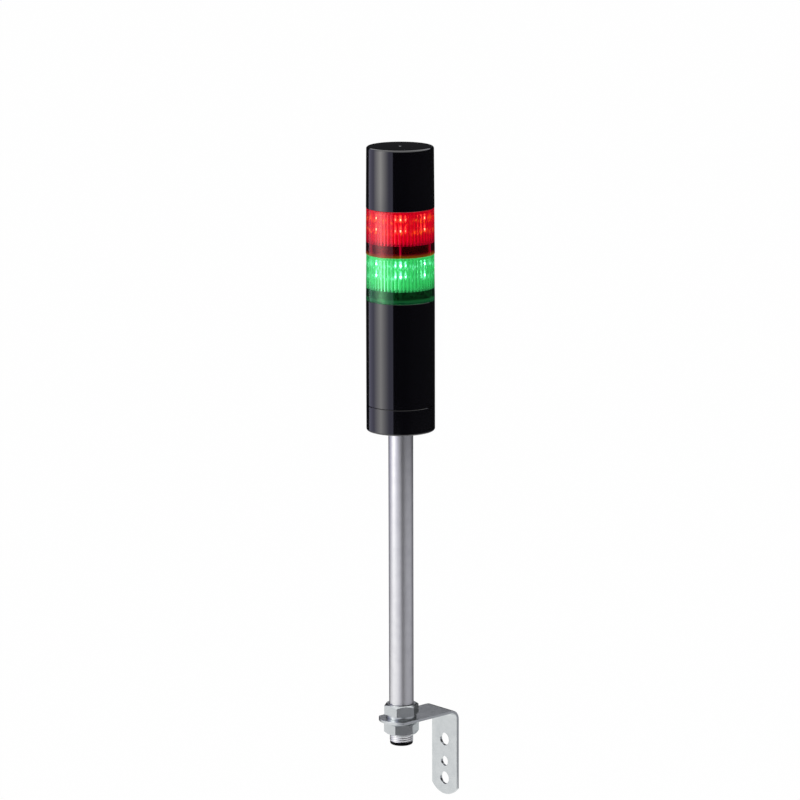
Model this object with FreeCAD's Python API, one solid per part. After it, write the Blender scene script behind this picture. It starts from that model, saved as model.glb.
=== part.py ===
import FreeCAD, Part
import math
import os

os.makedirs("parts", exist_ok=True)

# Modular stack light: sounder unit, red module, green module and body on a pole with an L bracket.
# Millimetres. The origin is the centre of the two large holes on the bracket's outer face.
# +Y points out of that face to the wall, +Z points up along the pole.
# Everything is worked out about the pole axis and moved to its place when it is written.

# Bracket
bracket_width = 33.0
bracket_thickness = 2.7
bracket_leg = 82.8
bracket_reach = 20.1
bracket_end_radius = 21.0
bend_inner_radius = 6.7
pole_to_wall = 55.0
plate_to_upper_hole = 31.25
upper_to_middle_hole = 20.5
middle_to_lower_hole = 16.0
large_hole_diameter = 11.5
small_hole_diameter = 9.0
pole_hole_clearance = 0.3

# Pole
pole_diameter = 22.0
pole_bore = 18.0
thread_diameter = 20.955
pole_exposed = 250.5
pole_socket_depth = 18.2
thread_tail = 6.7

# Cable bush at the lower end of the pole
bush_flange_diameter = 20.4
bush_flange_height = 3.3
bush_spigot_length = 10.0
bush_edge_radius = 1.2
cable_outlet_diameter = 11.0
bush_clearance = 0.05

# Nuts and washers
nut_across_flats = 27.5
nut_height = 9.8
nut_chamfer_angle = 30.0
nut_chamfer_circle = 25.6
upper_nut_turn = 32.0
lower_nut_turn = 27.0
thread_clearance = 0.05
upper_washer_diameter = 27.0
upper_washer_thickness = 3.2
lower_washer_diameter = 25.0
lower_washer_thickness = 2.1
washer_bevel = 0.35
locknut_across_flats = 24.5
locknut_height = 6.0

# Heights of the head
body_height = 117.0
cap_height = 23.0
module_pitch = 40.5
sounder_height = 54.0
seam_gap = 0.3
seam_chamfer = 0.3

# Outer radii, with the draft of each moulding
body_radius = 30.3
body_draft = 0.05
module_draft = 0.45
sounder_inset = 0.3
sounder_draft = 0.45
sounder_rim_radius = 1.8
gate_dimple_radius = 1.2
gate_dimple_depth = 0.3
cap_edge_radius = 1.5

# Walls
shell_wall = 2.5
top_seat_step = 0.2
foot_step = 1.1
foot_height = 3.3
plate_thickness = 2.5
sounder_wall = 2.2
cap_floor = 3.0
fit_gap = 0.1

# Lens flutes
flute_count = 56
flute_depth = 0.8
band_height = 10.8

# Bayonet coupling, heights from the parting plane between two units
socket_wall = 1.8
neck_wall = 2.0
seal_height = 2.0
seal_bevel = 0.4
coupling_clearance = 0.3
ledge_height = 2.2
lug_height = 2.0
lug_reach = 2.4
lug_span = 24.0
lug_count = 3
lug_play = 1.0
stop_span = 4.0
twist = 30.0
neck_lip = 0.6
deck_top = 3.0
deck_thickness = 2.0

# Contacts
ring_count = 3
inner_ring_radius = 5.0
ring_pitch = 3.5
ring_width = 2.2
ring_thickness = 0.6
rod_radius = 0.9
rod_clearance = 0.05
contact_gap = 0.1

# LED insert
led_turn = 18.0
column_apothem = 18.0
column_wall = 1.6
column_faces = 6
board_thickness = 1.0
board_width = 16.0
board_margin = 2.0
led_size = 3.2
led_height = 1.0
led_dome_radius = 1.2
led_dome_height = 0.6
led_drops = (8.0, 17.7)

# Body inside
spigot_height = 6.0
spigot_wall = 2.4
cap_seal_height = 2.0
cap_seal_depth = 1.2
cap_seal_rise = 1.5
pole_socket_radius = 14.0
pole_socket_height = 12.0
socket_flange_height = 2.0
pole_shoulder_height = 5.0
pillar_radius = 3.2
pillar_turn = 90.0
pillar_count = 3
pillar_reach = 20.5
pillar_web = 2.5
cap_screw_radius = 1.5
cap_screw_length = 38.0
screw_head_radius = 2.8
screw_head_height = 2.2
screw_recess = 3.2
screw_clearance = 0.1
screw_slot_width = 0.8
screw_slot_depth = 0.8
main_board_margin = 3.8
main_board_thickness = 1.6
main_board_foot = 31.0
main_board_top_gap = 1.0
rail_overlap = 2.5
rail_thickness = 1.5
rail_foot = 45.0
rail_clearance = 0.15
relay_length = 20.0
relay_depth = 12.0
relay_height = 15.0
relay_foot = 78.0
driver_length = 14.0
driver_depth = 3.0
driver_height = 10.0
driver_foot = 64.5
capacitor_radius = 5.0
capacitor_length = 12.0
capacitor_place = 12.0
capacitor_foot = 57.5
terminal_margin = 6.0
terminal_depth = 12.0
terminal_height = 14.0
terminal_rise = 5.0
terminal_count = 6
terminal_shoulder = 4.0
terminal_screw_height = 5.1
terminal_screw_radius = 1.75
terminal_screw_depth = 1.5
wire_hole_radius = 1.6
wire_hole_depth = 8.0
body_rod_tail = 12.0

# Sounder inside
sounder_board_margin = 2.8
sounder_board_thickness = 1.6
sounder_board_rise = 17.0
standoff_inset = 7.6
standoff_radius = 3.0
standoff_turn = 30.0
standoff_count = 3
sounder_screw_radius = 1.2
sounder_screw_length = 5.0
sounder_screw_head_radius = 2.4
sounder_screw_head_height = 1.6
component_circle = 12.5
coil_angle = 90.0
coil_radius = 6.0
coil_height = 9.0
filter_angles = (220.0, 320.0)
filter_radius = 4.0
filter_height = 10.0
amplifier_angle = 175.0
amplifier_width = 8.0
amplifier_height = 2.5
resonator_radius = 20.0
resonator_wall = 2.0
resonator_height = 8.0
resonator_lip = 2.0
diaphragm_thickness = 0.4
ceramic_radius = 12.0
ceramic_thickness = 0.3
trimmer_angle = 200.0
trimmer_circle = 15.0
trimmer_size = 6.8
trimmer_height = 4.4
rotor_radius = 2.2
rotor_height = 1.2
rotor_shaft_radius = 0.8
rotor_shaft_length = 1.5
rotor_shaft_clearance = 0.05
rotor_slot_width = 0.6
rotor_slot_depth = 0.5
rotor_gap = 0.15
trimmer_window_radius = 3.2
tone_angle = 340.0
tone_circle = 14.0
tone_length = 9.0
tone_width = 5.0
tone_height = 4.0
slider_size = 1.5
slider_reach = 1.4
slider_depth = 1.6
slider_travel = 2.0
slider_clearance = 0.15
tone_window_length = 7.0
tone_window_width = 4.0

# Heights along the pole, from the bracket upwards
Vector = FreeCAD.Vector
UP = Vector(0, 0, 1)
WALL = Vector(0, 1, 0)
SIDE = Vector(1, 0, 0)
CENTRE = Vector(0, 0, 0)
upper_hole_z = (upper_to_middle_hole + middle_to_lower_hole) / 2
lower_hole_z = -upper_hole_z
middle_hole_z = upper_hole_z - upper_to_middle_hole
plate_top = upper_hole_z + plate_to_upper_hole
plate_bottom = plate_top - bracket_thickness
upper_nut_z = plate_top + upper_washer_thickness
pole_shoulder_z = upper_nut_z + nut_height
lower_nut_z = plate_bottom - lower_washer_thickness - nut_height
pole_bottom = lower_nut_z - thread_tail
cap_z = pole_shoulder_z + pole_exposed
pole_top = cap_z + pole_socket_depth
body_top = cap_z + body_height
green_top = body_top + module_pitch
red_top = green_top + module_pitch
sounder_top = red_top + sounder_height

# Radii of the shells, from the body inwards
body_top_radius = body_radius - body_draft
module_top_radius = body_radius - module_draft
sounder_foot_radius = body_radius - sounder_inset
sounder_top_radius = sounder_foot_radius - sounder_draft
shell_inner_radius = body_radius - shell_wall
top_seat_radius = shell_inner_radius + top_seat_step
foot_inner_radius = shell_inner_radius - foot_step
base_radius = shell_inner_radius - 2 * fit_gap
base_foot_radius = foot_inner_radius - 2 * fit_gap
spigot_radius = shell_inner_radius - fit_gap
pillar_circle = spigot_radius - cap_seal_depth - fit_gap - pillar_radius
socket_flange_radius = pillar_circle - pillar_radius - coupling_clearance
main_board_half = shell_inner_radius - main_board_margin
rail_inner_half = main_board_half - rail_overlap
terminal_width = 2 * (main_board_half - terminal_margin)
sounder_board_radius = shell_inner_radius - sounder_board_margin
standoff_circle = base_radius - standoff_inset

# Coupling radii and heights
socket_radius = base_foot_radius - socket_wall
neck_radius = socket_radius - coupling_clearance - lug_reach
neck_inner_radius = neck_radius - neck_wall
ledge_inner_radius = neck_radius + coupling_clearance
ring_radii = [inner_ring_radius + index * ring_pitch for index in range(ring_count)]
ledge_bottom = seal_height + coupling_clearance
ledge_top = ledge_bottom + ledge_height
lug_bottom = ledge_top + coupling_clearance
neck_height = lug_bottom + lug_height + neck_lip
floor_bottom = neck_height + 2 * coupling_clearance
base_step = seam_gap + foot_height + fit_gap


def at(radius, angle, z=0.0):
    """Point at a radius and an angle in degrees about the pole axis."""
    turn = math.radians(angle)
    return Vector(radius * math.cos(turn), radius * math.sin(turn), z)


def turned(shape, angle):
    """The shape turned by an angle in degrees about the pole axis."""
    copy = shape.copy()
    copy.rotate(CENTRE, UP, angle)
    return copy


def corner_arc(before, corner, after, radius):
    """Start, middle and end of the arc that rounds a corner with a radius."""
    back = (before - corner).normalize()
    on = (after - corner).normalize()
    half = back.getAngle(on) / 2
    inward = (back + on).normalize()
    middle = corner + inward * (radius / math.sin(half) - radius)
    setback = radius / math.tan(half)
    return corner + back * setback, middle, corner + on * setback


def profile_wire(corners):
    """Closed wire through corners (r, z) or (r, z, rounding radius) in the XZ plane."""
    points = [Vector(corner[0], 0, corner[1]) for corner in corners]
    edges = []
    starts = []
    ends = []
    for index, corner in enumerate(corners):
        point = points[index]
        if len(corner) == 2:
            starts.append(point)
            ends.append(point)
            continue
        following = points[(index + 1) % len(points)]
        start, middle, end = corner_arc(points[index - 1], point, following, corner[2])
        starts.append(start)
        ends.append(end)
        edges.append(Part.Arc(start, middle, end).toShape())
    for index, end in enumerate(ends):
        start = starts[(index + 1) % len(starts)]
        edges.append(Part.LineSegment(end, start).toShape())
    return Part.Wire(Part.__sortEdges__(edges))


def revolved(corners):
    """Solid of revolution about the pole axis from profile corners."""
    return Part.Face(profile_wire(corners)).revolve(CENTRE, UP, 360)


def ring(inner, outer, bottom, top):
    """Flat ring between two radii and two heights."""
    return revolved([(inner, bottom), (outer, bottom), (outer, top), (inner, top)])


def sector(inner, outer, start, end, bottom, top):
    """Part of a ring between two angles in degrees."""
    wedge = Part.makeCylinder(outer, top - bottom, Vector(0, 0, bottom), UP, end - start)
    hole = Part.makeCylinder(inner, top - bottom, Vector(0, 0, bottom))
    return turned(wedge.cut(hole), start)


def rod(radius, bottom, top, place=CENTRE):
    """Upright cylinder between two heights, at a place about the pole axis."""
    return Part.makeCylinder(radius, top - bottom, Vector(place.x, place.y, bottom))


def block(x_low, x_high, y_low, y_high, z_low, z_high):
    """Box between two corners."""
    size = Vector(x_high - x_low, y_high - y_low, z_high - z_low)
    return Part.makeBox(size.x, size.y, size.z, Vector(x_low, y_low, z_low))


def around(shape, count, start=0.0):
    """Copies of a shape, evenly turned about the pole axis."""
    return [turned(shape, start + index * 360.0 / count) for index in range(count)]


def hexagon(apothem, bottom, top, turn):
    """Hexagonal prism with one face normal at the angle turn."""
    corner = apothem / math.cos(math.radians(30))
    points = [at(corner, turn + 30 + 60 * index, bottom) for index in range(6)]
    outline = Part.makePolygon(points + points[:1])
    return Part.Face(outline).extrude(Vector(0, 0, top - bottom))


def write(name, shape):
    """Write one named piece in its place in front of the wall."""
    placed = shape.copy()
    placed.translate(Vector(0, -pole_to_wall, 0))
    placed.exportStep("parts/" + name + ".step")
    print(name, len(placed.Solids), round(placed.Volume))


def hex_nut(bottom, turn, chamfer_up):
    """Hexagon nut whose corners are turned off at one end."""
    top = bottom + nut_height
    apothem = nut_across_flats / 2
    corner = apothem / math.cos(math.radians(30))
    slope = math.tan(math.radians(nut_chamfer_angle))
    rim = nut_chamfer_circle / 2
    drop = (corner - rim) * slope
    bore = thread_diameter / 2 + thread_clearance
    prism = hexagon(apothem, bottom, top, turn)
    if chamfer_up:
        limit = revolved([(0, bottom), (corner, bottom), (corner, top - drop), (rim, top), (0, top)])
    else:
        limit = revolved([(0, bottom), (rim, bottom), (corner, bottom + drop), (corner, top), (0, top)])
    return prism.common(limit).cut(rod(bore, bottom, top))


def make_washer(bottom, thickness, diameter):
    """Plain washer with chamfered outer edges."""
    inner = thread_diameter / 2 + pole_hole_clearance
    outer = diameter / 2
    top = bottom + thickness
    return revolved([(inner, bottom), (outer - washer_bevel, bottom), (outer, bottom + washer_bevel),
                     (outer, top - washer_bevel), (outer - washer_bevel, top), (inner, top)])


def make_bracket():
    """Sheet bent once into an L, with rounded ends, a pole hole and three holes in the leg."""
    half = bracket_width / 2
    tip = -bracket_reach
    outer = bend_inner_radius + bracket_thickness
    leg_end = plate_top - bracket_leg
    inner_face = pole_to_wall - bracket_thickness
    corners = [(tip, plate_top), (pole_to_wall, plate_top, outer), (pole_to_wall, leg_end),
               (inner_face, leg_end), (inner_face, plate_bottom, bend_inner_radius), (tip, plate_bottom)]
    side = profile_wire(corners)
    side.rotate(CENTRE, UP, 90)
    side.translate(Vector(-half, 0, 0))
    sheet = Part.Face(side).extrude(Vector(bracket_width, 0, 0))
    height = bracket_leg + outer
    plan = rod(bracket_end_radius, leg_end, leg_end + height)
    plan.translate(WALL * (tip + bracket_end_radius))
    plan = plan.fuse(block(-half, half, 0, pole_to_wall, leg_end, leg_end + height))
    end_centre = leg_end + bracket_end_radius
    front = Part.makeCylinder(bracket_end_radius, pole_to_wall - tip, Vector(0, tip, end_centre), WALL)
    front = front.fuse(block(-half, half, tip, pole_to_wall, end_centre, leg_end + height))
    sheet = sheet.common(plan).common(front)
    sheet = sheet.cut(rod(thread_diameter / 2 + pole_hole_clearance, plate_bottom, plate_top))
    holes = [(upper_hole_z, large_hole_diameter), (middle_hole_z, small_hole_diameter),
             (lower_hole_z, large_hole_diameter)]
    for height_of_hole, diameter in holes:
        start = Vector(0, inner_face, height_of_hole)
        sheet = sheet.cut(Part.makeCylinder(diameter / 2, bracket_thickness, start, WALL))
    return sheet.removeSplitter()


def make_pole():
    """Tube with a turned down thread at both ends."""
    thread = thread_diameter / 2
    shoulder = cap_z + pole_shoulder_height
    outer = pole_diameter / 2
    bore = pole_bore / 2
    return revolved([(bore, pole_bottom), (thread, pole_bottom), (thread, pole_shoulder_z),
                     (outer, pole_shoulder_z), (outer, shoulder), (thread, shoulder),
                     (thread, pole_top), (bore, pole_top)])


def make_bush():
    """Flanged bush in the lower end of the pole, with a rounded lower edge."""
    bottom = pole_bottom - bush_flange_height
    outlet = cable_outlet_diameter / 2
    flange = bush_flange_diameter / 2
    spigot = pole_bore / 2 - bush_clearance
    return revolved([(outlet, bottom), (flange, bottom, bush_edge_radius), (flange, pole_bottom),
                     (spigot, pole_bottom), (spigot, pole_bottom + bush_spigot_length),
                     (outlet, pole_bottom + bush_spigot_length)])


def neck_lugs(top):
    """Bayonet lugs that stand out of a neck."""
    lug = sector(neck_radius - neck_wall / 2, neck_radius + lug_reach, -lug_span / 2, lug_span / 2,
                 top + lug_bottom, top + lug_bottom + lug_height)
    return around(lug, lug_count)


def rod_places():
    """Places of the three contact rods, one on each slip ring."""
    return [at(radius, index * 360 / len(ring_radii)) for index, radius in enumerate(ring_radii)]


def rod_holes(shape, bottom, top, places):
    """The shape with a clear hole for each contact rod."""
    for place in places:
        shape = shape.cut(rod(rod_radius + rod_clearance, bottom, top, place))
    return shape


def make_neck_plate(top, places):
    """Upper plate of the body or an LED module with the coupling neck for the unit above."""
    outer = top_seat_radius - fit_gap
    inner_wall = neck_inner_radius - neck_wall + coupling_clearance
    deck = top + deck_top
    plate = revolved([(outer, top), (neck_radius, top), (neck_radius, top + neck_height),
                      (neck_inner_radius, top + neck_height), (neck_inner_radius, deck), (0, deck),
                      (0, deck - deck_thickness), (inner_wall, deck - deck_thickness),
                      (inner_wall, top - plate_thickness), (outer, top - plate_thickness)])
    plate = plate.multiFuse(neck_lugs(top)).removeSplitter()
    return rod_holes(plate, top, deck, places)


def make_contact_rings(top):
    """Slip rings that lie on the deck inside a neck."""
    low = top + deck_top
    half = ring_width / 2
    rings = [ring(radius - half, radius + half, low, low + ring_thickness) for radius in ring_radii]
    return Part.makeCompound(rings)


def make_seal(top):
    """Seal ring round the root of a neck."""
    inner = neck_radius + rod_clearance
    outer = neck_radius + lug_reach
    return revolved([(inner, top), (outer, top), (outer, top + seal_height - seal_bevel),
                     (outer - seal_bevel, top + seal_height), (inner, top + seal_height)])


def make_base(bottom):
    """Bayonet socket of a unit: stepped wall, closed floor, ledges and stops."""
    low = bottom + seam_gap
    floor = bottom + floor_bottom
    high = bottom + band_height
    step = bottom + base_step
    base = revolved([(socket_radius, low), (base_foot_radius, low), (base_foot_radius, step),
                     (base_radius, step), (base_radius, high), (0, high), (0, floor),
                     (socket_radius, floor)])
    half = lug_span / 2 + lug_play
    grip = socket_radius + coupling_clearance
    ledge = sector(ledge_inner_radius, grip, -half, half, bottom + ledge_bottom, bottom + ledge_top)
    lock_stop = sector(ledge_inner_radius, grip, half, half + stop_span, bottom + ledge_bottom, floor)
    free_stop = sector(ledge_inner_radius, grip, -half - twist - stop_span, -half - twist,
                       bottom + ledge_bottom, floor)
    grips = around(ledge.fuse(lock_stop), lug_count) + around(free_stop, lug_count)
    return base.multiFuse(grips).removeSplitter()


def make_lens(bottom):
    """Clear moulding: plain skirt below, fluted inside over the lit height, seat for the plate above."""
    top = bottom + module_pitch
    low = bottom + seam_gap
    foot = low + foot_height
    lit = bottom + band_height
    seat = top - plate_thickness
    lens = revolved([(foot_inner_radius, low), (body_radius - seam_chamfer, low),
                     (body_radius, low + seam_chamfer), (module_top_radius, top - seam_chamfer),
                     (module_top_radius - seam_chamfer, top), (top_seat_radius, top),
                     (top_seat_radius, seat), (shell_inner_radius - flute_depth, seat),
                     (shell_inner_radius - flute_depth, lit), (shell_inner_radius, lit),
                     (shell_inner_radius, foot), (foot_inner_radius, foot)])
    pitch = 360.0 / flute_count
    valleys = [at(shell_inner_radius, index * pitch, lit) for index in range(flute_count)]
    edges = []
    for index in range(flute_count):
        ridge = at(shell_inner_radius - flute_depth, (index + 0.5) * pitch, lit)
        following = valleys[(index + 1) % flute_count]
        edges.append(Part.Arc(valleys[index], ridge, following).toShape())
    core = Part.Face(Part.Wire(edges)).extrude(Vector(0, 0, seat - lit))
    return lens.cut(core)


def make_led_column(bottom):
    """Hollow hexagonal carrier between the base and the neck plate."""
    low = bottom + band_height
    high = bottom + module_pitch - plate_thickness
    outer = hexagon(column_apothem, low, high, led_turn)
    return outer.cut(hexagon(column_apothem - column_wall, low, high, led_turn))


def make_led_boards(bottom):
    """Narrow boards on the six faces of the column."""
    low = bottom + band_height + board_margin
    high = bottom + module_pitch - plate_thickness - board_margin
    half = board_width / 2
    board = block(column_apothem, column_apothem + board_thickness, -half, half, low, high)
    return Part.makeCompound(around(board, column_faces, led_turn))


def make_leds(bottom):
    """Square LED packages with a round lens, in two rows on the boards."""
    face = column_apothem + board_thickness
    half = led_size / 2
    packages = []
    for drop in led_drops:
        middle = bottom + module_pitch - drop
        package = block(face, face + led_height, -half, half, middle - half, middle + half)
        dome = Part.makeCylinder(led_dome_radius, led_dome_height,
                                 Vector(face + led_height, 0, middle), SIDE)
        packages += around(package.fuse(dome), column_faces, led_turn)
    return Part.makeCompound(packages)


def make_contact_rods(bottom):
    """Rods from the slip rings below to the slip rings of the same module."""
    low = bottom + deck_top + ring_thickness + contact_gap
    high = bottom + module_pitch + deck_top
    return Part.makeCompound([rod(rod_radius, low, high, place) for place in rod_places()])


def write_led_module(colour, bottom):
    """All pieces of one LED module."""
    top = bottom + module_pitch
    write(colour + "_lens", make_lens(bottom))
    base = rod_holes(make_base(bottom), bottom + floor_bottom, bottom + band_height, rod_places())
    write(colour + "_base", base)
    write(colour + "_contact_rods", make_contact_rods(bottom))
    write(colour + "_led_column", make_led_column(bottom))
    write(colour + "_led_boards", make_led_boards(bottom))
    write(colour + "_leds", make_leds(bottom))
    write(colour + "_neck_plate", make_neck_plate(top, rod_places()))
    write(colour + "_contact_rings", make_contact_rings(top))
    write(colour + "_seal", make_seal(top))


def body_rod_places():
    """Contact rods of the body, in a line along the face of the control board."""
    return [Vector(ring_radii[0], 0, 0), Vector(-ring_radii[1], 0, 0), Vector(ring_radii[2], 0, 0)]


def board_front():
    """Front face of the control board, just clear of the contact rods."""
    return rod_radius + rod_clearance


def make_bottom_cap():
    """Cap that closes the body, with a spigot, a seal groove and screw pillars."""
    way = pole_socket_radius + fit_gap
    rise = cap_z + cap_height
    groove = rise + cap_seal_rise
    inner = spigot_radius - spigot_wall
    shelf = rise - plate_thickness
    cap = revolved([(way, cap_z), (body_radius, cap_z, cap_edge_radius),
                    (body_radius, rise - seam_chamfer), (body_radius - seam_chamfer, rise),
                    (spigot_radius, rise), (spigot_radius, groove),
                    (spigot_radius - cap_seal_depth, groove),
                    (spigot_radius - cap_seal_depth, groove + cap_seal_height),
                    (spigot_radius, groove + cap_seal_height),
                    (spigot_radius, rise + spigot_height), (inner, rise + spigot_height), (inner, shelf),
                    (shell_inner_radius, shelf), (shell_inner_radius, cap_z + cap_floor),
                    (way, cap_z + cap_floor)])
    place = at(pillar_circle, pillar_turn)
    pillar = rod(pillar_radius, cap_z + fit_gap, rise + spigot_height, place)
    cap = cap.multiFuse(around(pillar, pillar_count)).removeSplitter()
    hole = rod(cap_screw_radius + screw_clearance, cap_z, rise + spigot_height, place)
    recess = rod(screw_head_radius + 2 * screw_clearance, cap_z, cap_z + screw_recess, place)
    return cap.cut(Part.makeCompound(around(hole.fuse(recess), pillar_count)))


def make_pole_socket():
    """Bush in the cap's floor that takes the upper end of the pole, with a flange on the floor."""
    pole_way = pole_diameter / 2 + fit_gap
    thread_way = thread_diameter / 2 + fit_gap
    seat = cap_z + cap_floor
    shoulder = cap_z + pole_shoulder_height
    top = cap_z + pole_socket_height
    return revolved([(pole_way, cap_z), (pole_socket_radius, cap_z), (pole_socket_radius, seat),
                     (socket_flange_radius, seat), (socket_flange_radius, seat + socket_flange_height),
                     (pole_socket_radius, seat + socket_flange_height), (pole_socket_radius, top),
                     (thread_way, top), (thread_way, shoulder), (pole_way, shoulder)])


def make_cap_seal():
    """Seal ring in the groove of the cap's spigot."""
    low = cap_z + cap_height + cap_seal_rise
    inner = spigot_radius - cap_seal_depth + rod_clearance
    high = low + cap_seal_height - rod_clearance
    return ring(inner, spigot_radius + fit_gap / 2, low + rod_clearance, high)


def make_cap_screws():
    """Screws that hold the cap to the housing, with slotted heads."""
    place = at(pillar_circle, pillar_turn)
    head_top = cap_z + screw_recess
    head = rod(screw_head_radius, head_top - screw_head_height, head_top, place)
    shank = rod(cap_screw_radius, head_top, head_top + cap_screw_length, place)
    half = screw_slot_width / 2
    low = head_top - screw_head_height
    slot = block(place.x - screw_head_radius, place.x + screw_head_radius,
                 place.y - half, place.y + half, low, low + screw_slot_depth)
    return Part.makeCompound(around(head.fuse(shank).cut(slot), pillar_count))


def make_housing():
    """Body tube with screw pillars, rails for the control board and a seat for the neck plate."""
    foot = cap_z + cap_height + seam_gap
    roof = body_top - plate_thickness
    housing = revolved([(shell_inner_radius, foot), (body_radius - seam_chamfer, foot),
                        (body_radius, foot + seam_chamfer), (body_top_radius, body_top - seam_chamfer),
                        (body_top_radius - seam_chamfer, body_top), (top_seat_radius, body_top),
                        (top_seat_radius, roof), (shell_inner_radius, roof)])
    pillar_foot = cap_z + cap_height + spigot_height + coupling_clearance
    pillar_head = pillar_foot + pillar_reach
    place = at(pillar_circle, 0)
    half_web = pillar_web / 2
    pillar = rod(pillar_radius, pillar_foot, pillar_head, place)
    wall = shell_inner_radius + coupling_clearance
    web = block(place.x, wall, -half_web, half_web, pillar_foot, pillar_head)
    pillar = pillar.fuse(web)
    front = board_front() - rail_clearance
    back = board_front() + main_board_thickness + rail_clearance
    rails = []
    for low, high in ((front - rail_thickness, front), (back, back + rail_thickness)):
        wall = math.sqrt(shell_inner_radius ** 2 - max(abs(low), abs(high)) ** 2) + coupling_clearance
        rails.append(block(rail_inner_half, wall, low, high, cap_z + rail_foot, roof))
        rails.append(block(-wall, -rail_inner_half, low, high, cap_z + rail_foot, roof))
    parts = around(pillar, pillar_count, pillar_turn) + rails
    housing = housing.multiFuse(parts).removeSplitter()
    pilot_top = cap_z + screw_recess + cap_screw_length + coupling_clearance
    pilot = rod(cap_screw_radius + screw_clearance, pillar_foot, pilot_top, place)
    return housing.cut(Part.makeCompound(around(pilot, pillar_count, pillar_turn)))


def make_locknut():
    """Thin nut on the pole's upper thread, on top of the socket."""
    low = cap_z + pole_socket_height
    high = low + locknut_height
    bore = thread_diameter / 2 + thread_clearance
    return hexagon(locknut_across_flats / 2, low, high, led_turn).cut(rod(bore, low, high))


def make_control_board():
    """Upright board between the housing's rails."""
    front = board_front()
    back = front + main_board_thickness
    top = body_top - plate_thickness - main_board_top_gap
    return block(-main_board_half, main_board_half, front, back, cap_z + main_board_foot, top)


def board_back():
    """Rear face of the control board, which carries the components."""
    return board_front() + main_board_thickness


def make_board_components():
    """Relay, driver and two capacitors on the rear of the control board."""
    back = board_back()
    relay_low = cap_z + relay_foot
    driver_low = cap_z + driver_foot
    relay = block(-relay_length / 2, relay_length / 2, back, back + relay_depth,
                  relay_low, relay_low + relay_height)
    driver = block(-driver_length / 2, driver_length / 2, back, back + driver_depth,
                   driver_low, driver_low + driver_height)
    solids = [relay, driver]
    for side in (-1, 1):
        start = Vector(side * capacitor_place, back, cap_z + capacitor_foot)
        solids.append(Part.makeCylinder(capacitor_radius, capacitor_length, start, WALL))
    return Part.makeCompound(solids)


def terminal_screw_places():
    """X places of the terminals along the block."""
    pitch = terminal_width / terminal_count
    return [-terminal_width / 2 + (index + 0.5) * pitch for index in range(terminal_count)]


def terminal_middle():
    """Height of the terminal screws."""
    return cap_z + main_board_foot + terminal_rise + terminal_screw_height


def make_terminal_block():
    """Terminal block with a sloped shoulder, screw holes behind and wire holes below."""
    back = board_back()
    foot = cap_z + main_board_foot + terminal_rise
    head = foot + terminal_height
    end = -terminal_width / 2
    far = back + terminal_depth
    points = [Vector(end, back, foot), Vector(end, far, foot),
              Vector(end, far, head - terminal_shoulder),
              Vector(end, far - terminal_shoulder, head), Vector(end, back, head)]
    body = Part.Face(Part.makePolygon(points + points[:1])).extrude(Vector(terminal_width, 0, 0))
    for x in terminal_screw_places():
        start = Vector(x, far - terminal_screw_depth, terminal_middle())
        body = body.cut(Part.makeCylinder(terminal_screw_radius + screw_clearance, terminal_depth,
                                          start, WALL))
        entry = Vector(x, back + terminal_depth / 2, foot)
        body = body.cut(Part.makeCylinder(wire_hole_radius, wire_hole_depth, entry))
    return body


def make_terminal_screws():
    """Slotted screw heads in the terminal block."""
    far = board_back() + terminal_depth
    middle = terminal_middle()
    half = screw_slot_width / 2
    screws = []
    for x in terminal_screw_places():
        start = Vector(x, far - terminal_screw_depth, middle)
        screw = Part.makeCylinder(terminal_screw_radius, terminal_screw_depth, start, WALL)
        slot = block(x - terminal_screw_radius, x + terminal_screw_radius, far - screw_slot_depth, far,
                     middle - half, middle + half)
        screws.append(screw.cut(slot))
    return Part.makeCompound(screws)


def make_body_contact_rods():
    """Rods from the body's slip rings down to the control board."""
    low = body_top - body_rod_tail
    high = body_top + deck_top
    return Part.makeCompound([rod(rod_radius, low, high, place) for place in body_rod_places()])


def write_body():
    """All pieces of the body below the modules."""
    write("body_housing", make_housing())
    write("body_neck_plate", make_neck_plate(body_top, body_rod_places()))
    write("bottom_cap", make_bottom_cap())
    write("pole_socket", make_pole_socket())
    write("cap_seal", make_cap_seal())
    write("cap_screws", make_cap_screws())
    write("pole_locknut", make_locknut())
    write("control_board", make_control_board())
    write("board_components", make_board_components())
    write("terminal_block", make_terminal_block())
    write("terminal_screws", make_terminal_screws())
    write("body_contact_rods", make_body_contact_rods())
    write("body_contact_rings", make_contact_rings(body_top))
    write("body_seal", make_seal(body_top))


def board_underside():
    """Height of the lower face of the sounder board."""
    return red_top + sounder_board_rise


def make_sounder_cover():
    """Tall glossy cup with a rounded rim, a gate dimple on top and a foot ring inside."""
    low = red_top + seam_gap
    foot = low + foot_height
    ceiling = sounder_top - sounder_wall
    cover = revolved([(foot_inner_radius, low), (sounder_foot_radius - seam_chamfer, low),
                      (sounder_foot_radius, low + seam_chamfer),
                      (sounder_top_radius, sounder_top, sounder_rim_radius), (0, sounder_top),
                      (0, ceiling), (shell_inner_radius, ceiling, sounder_rim_radius / 2),
                      (shell_inner_radius, foot), (foot_inner_radius, foot)])
    return cover.cut(rod(gate_dimple_radius, sounder_top - gate_dimple_depth, sounder_top))


def trimmer_place():
    """Centre of the volume trimmer."""
    return at(trimmer_circle, trimmer_angle)


def tone_place():
    """Centre of the tone switch."""
    return at(tone_circle, tone_angle)


def standoff_places():
    """Places of the three posts that carry the sounder board."""
    pitch = 360 / standoff_count
    return [at(standoff_circle, standoff_turn + index * pitch) for index in range(standoff_count)]


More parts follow.
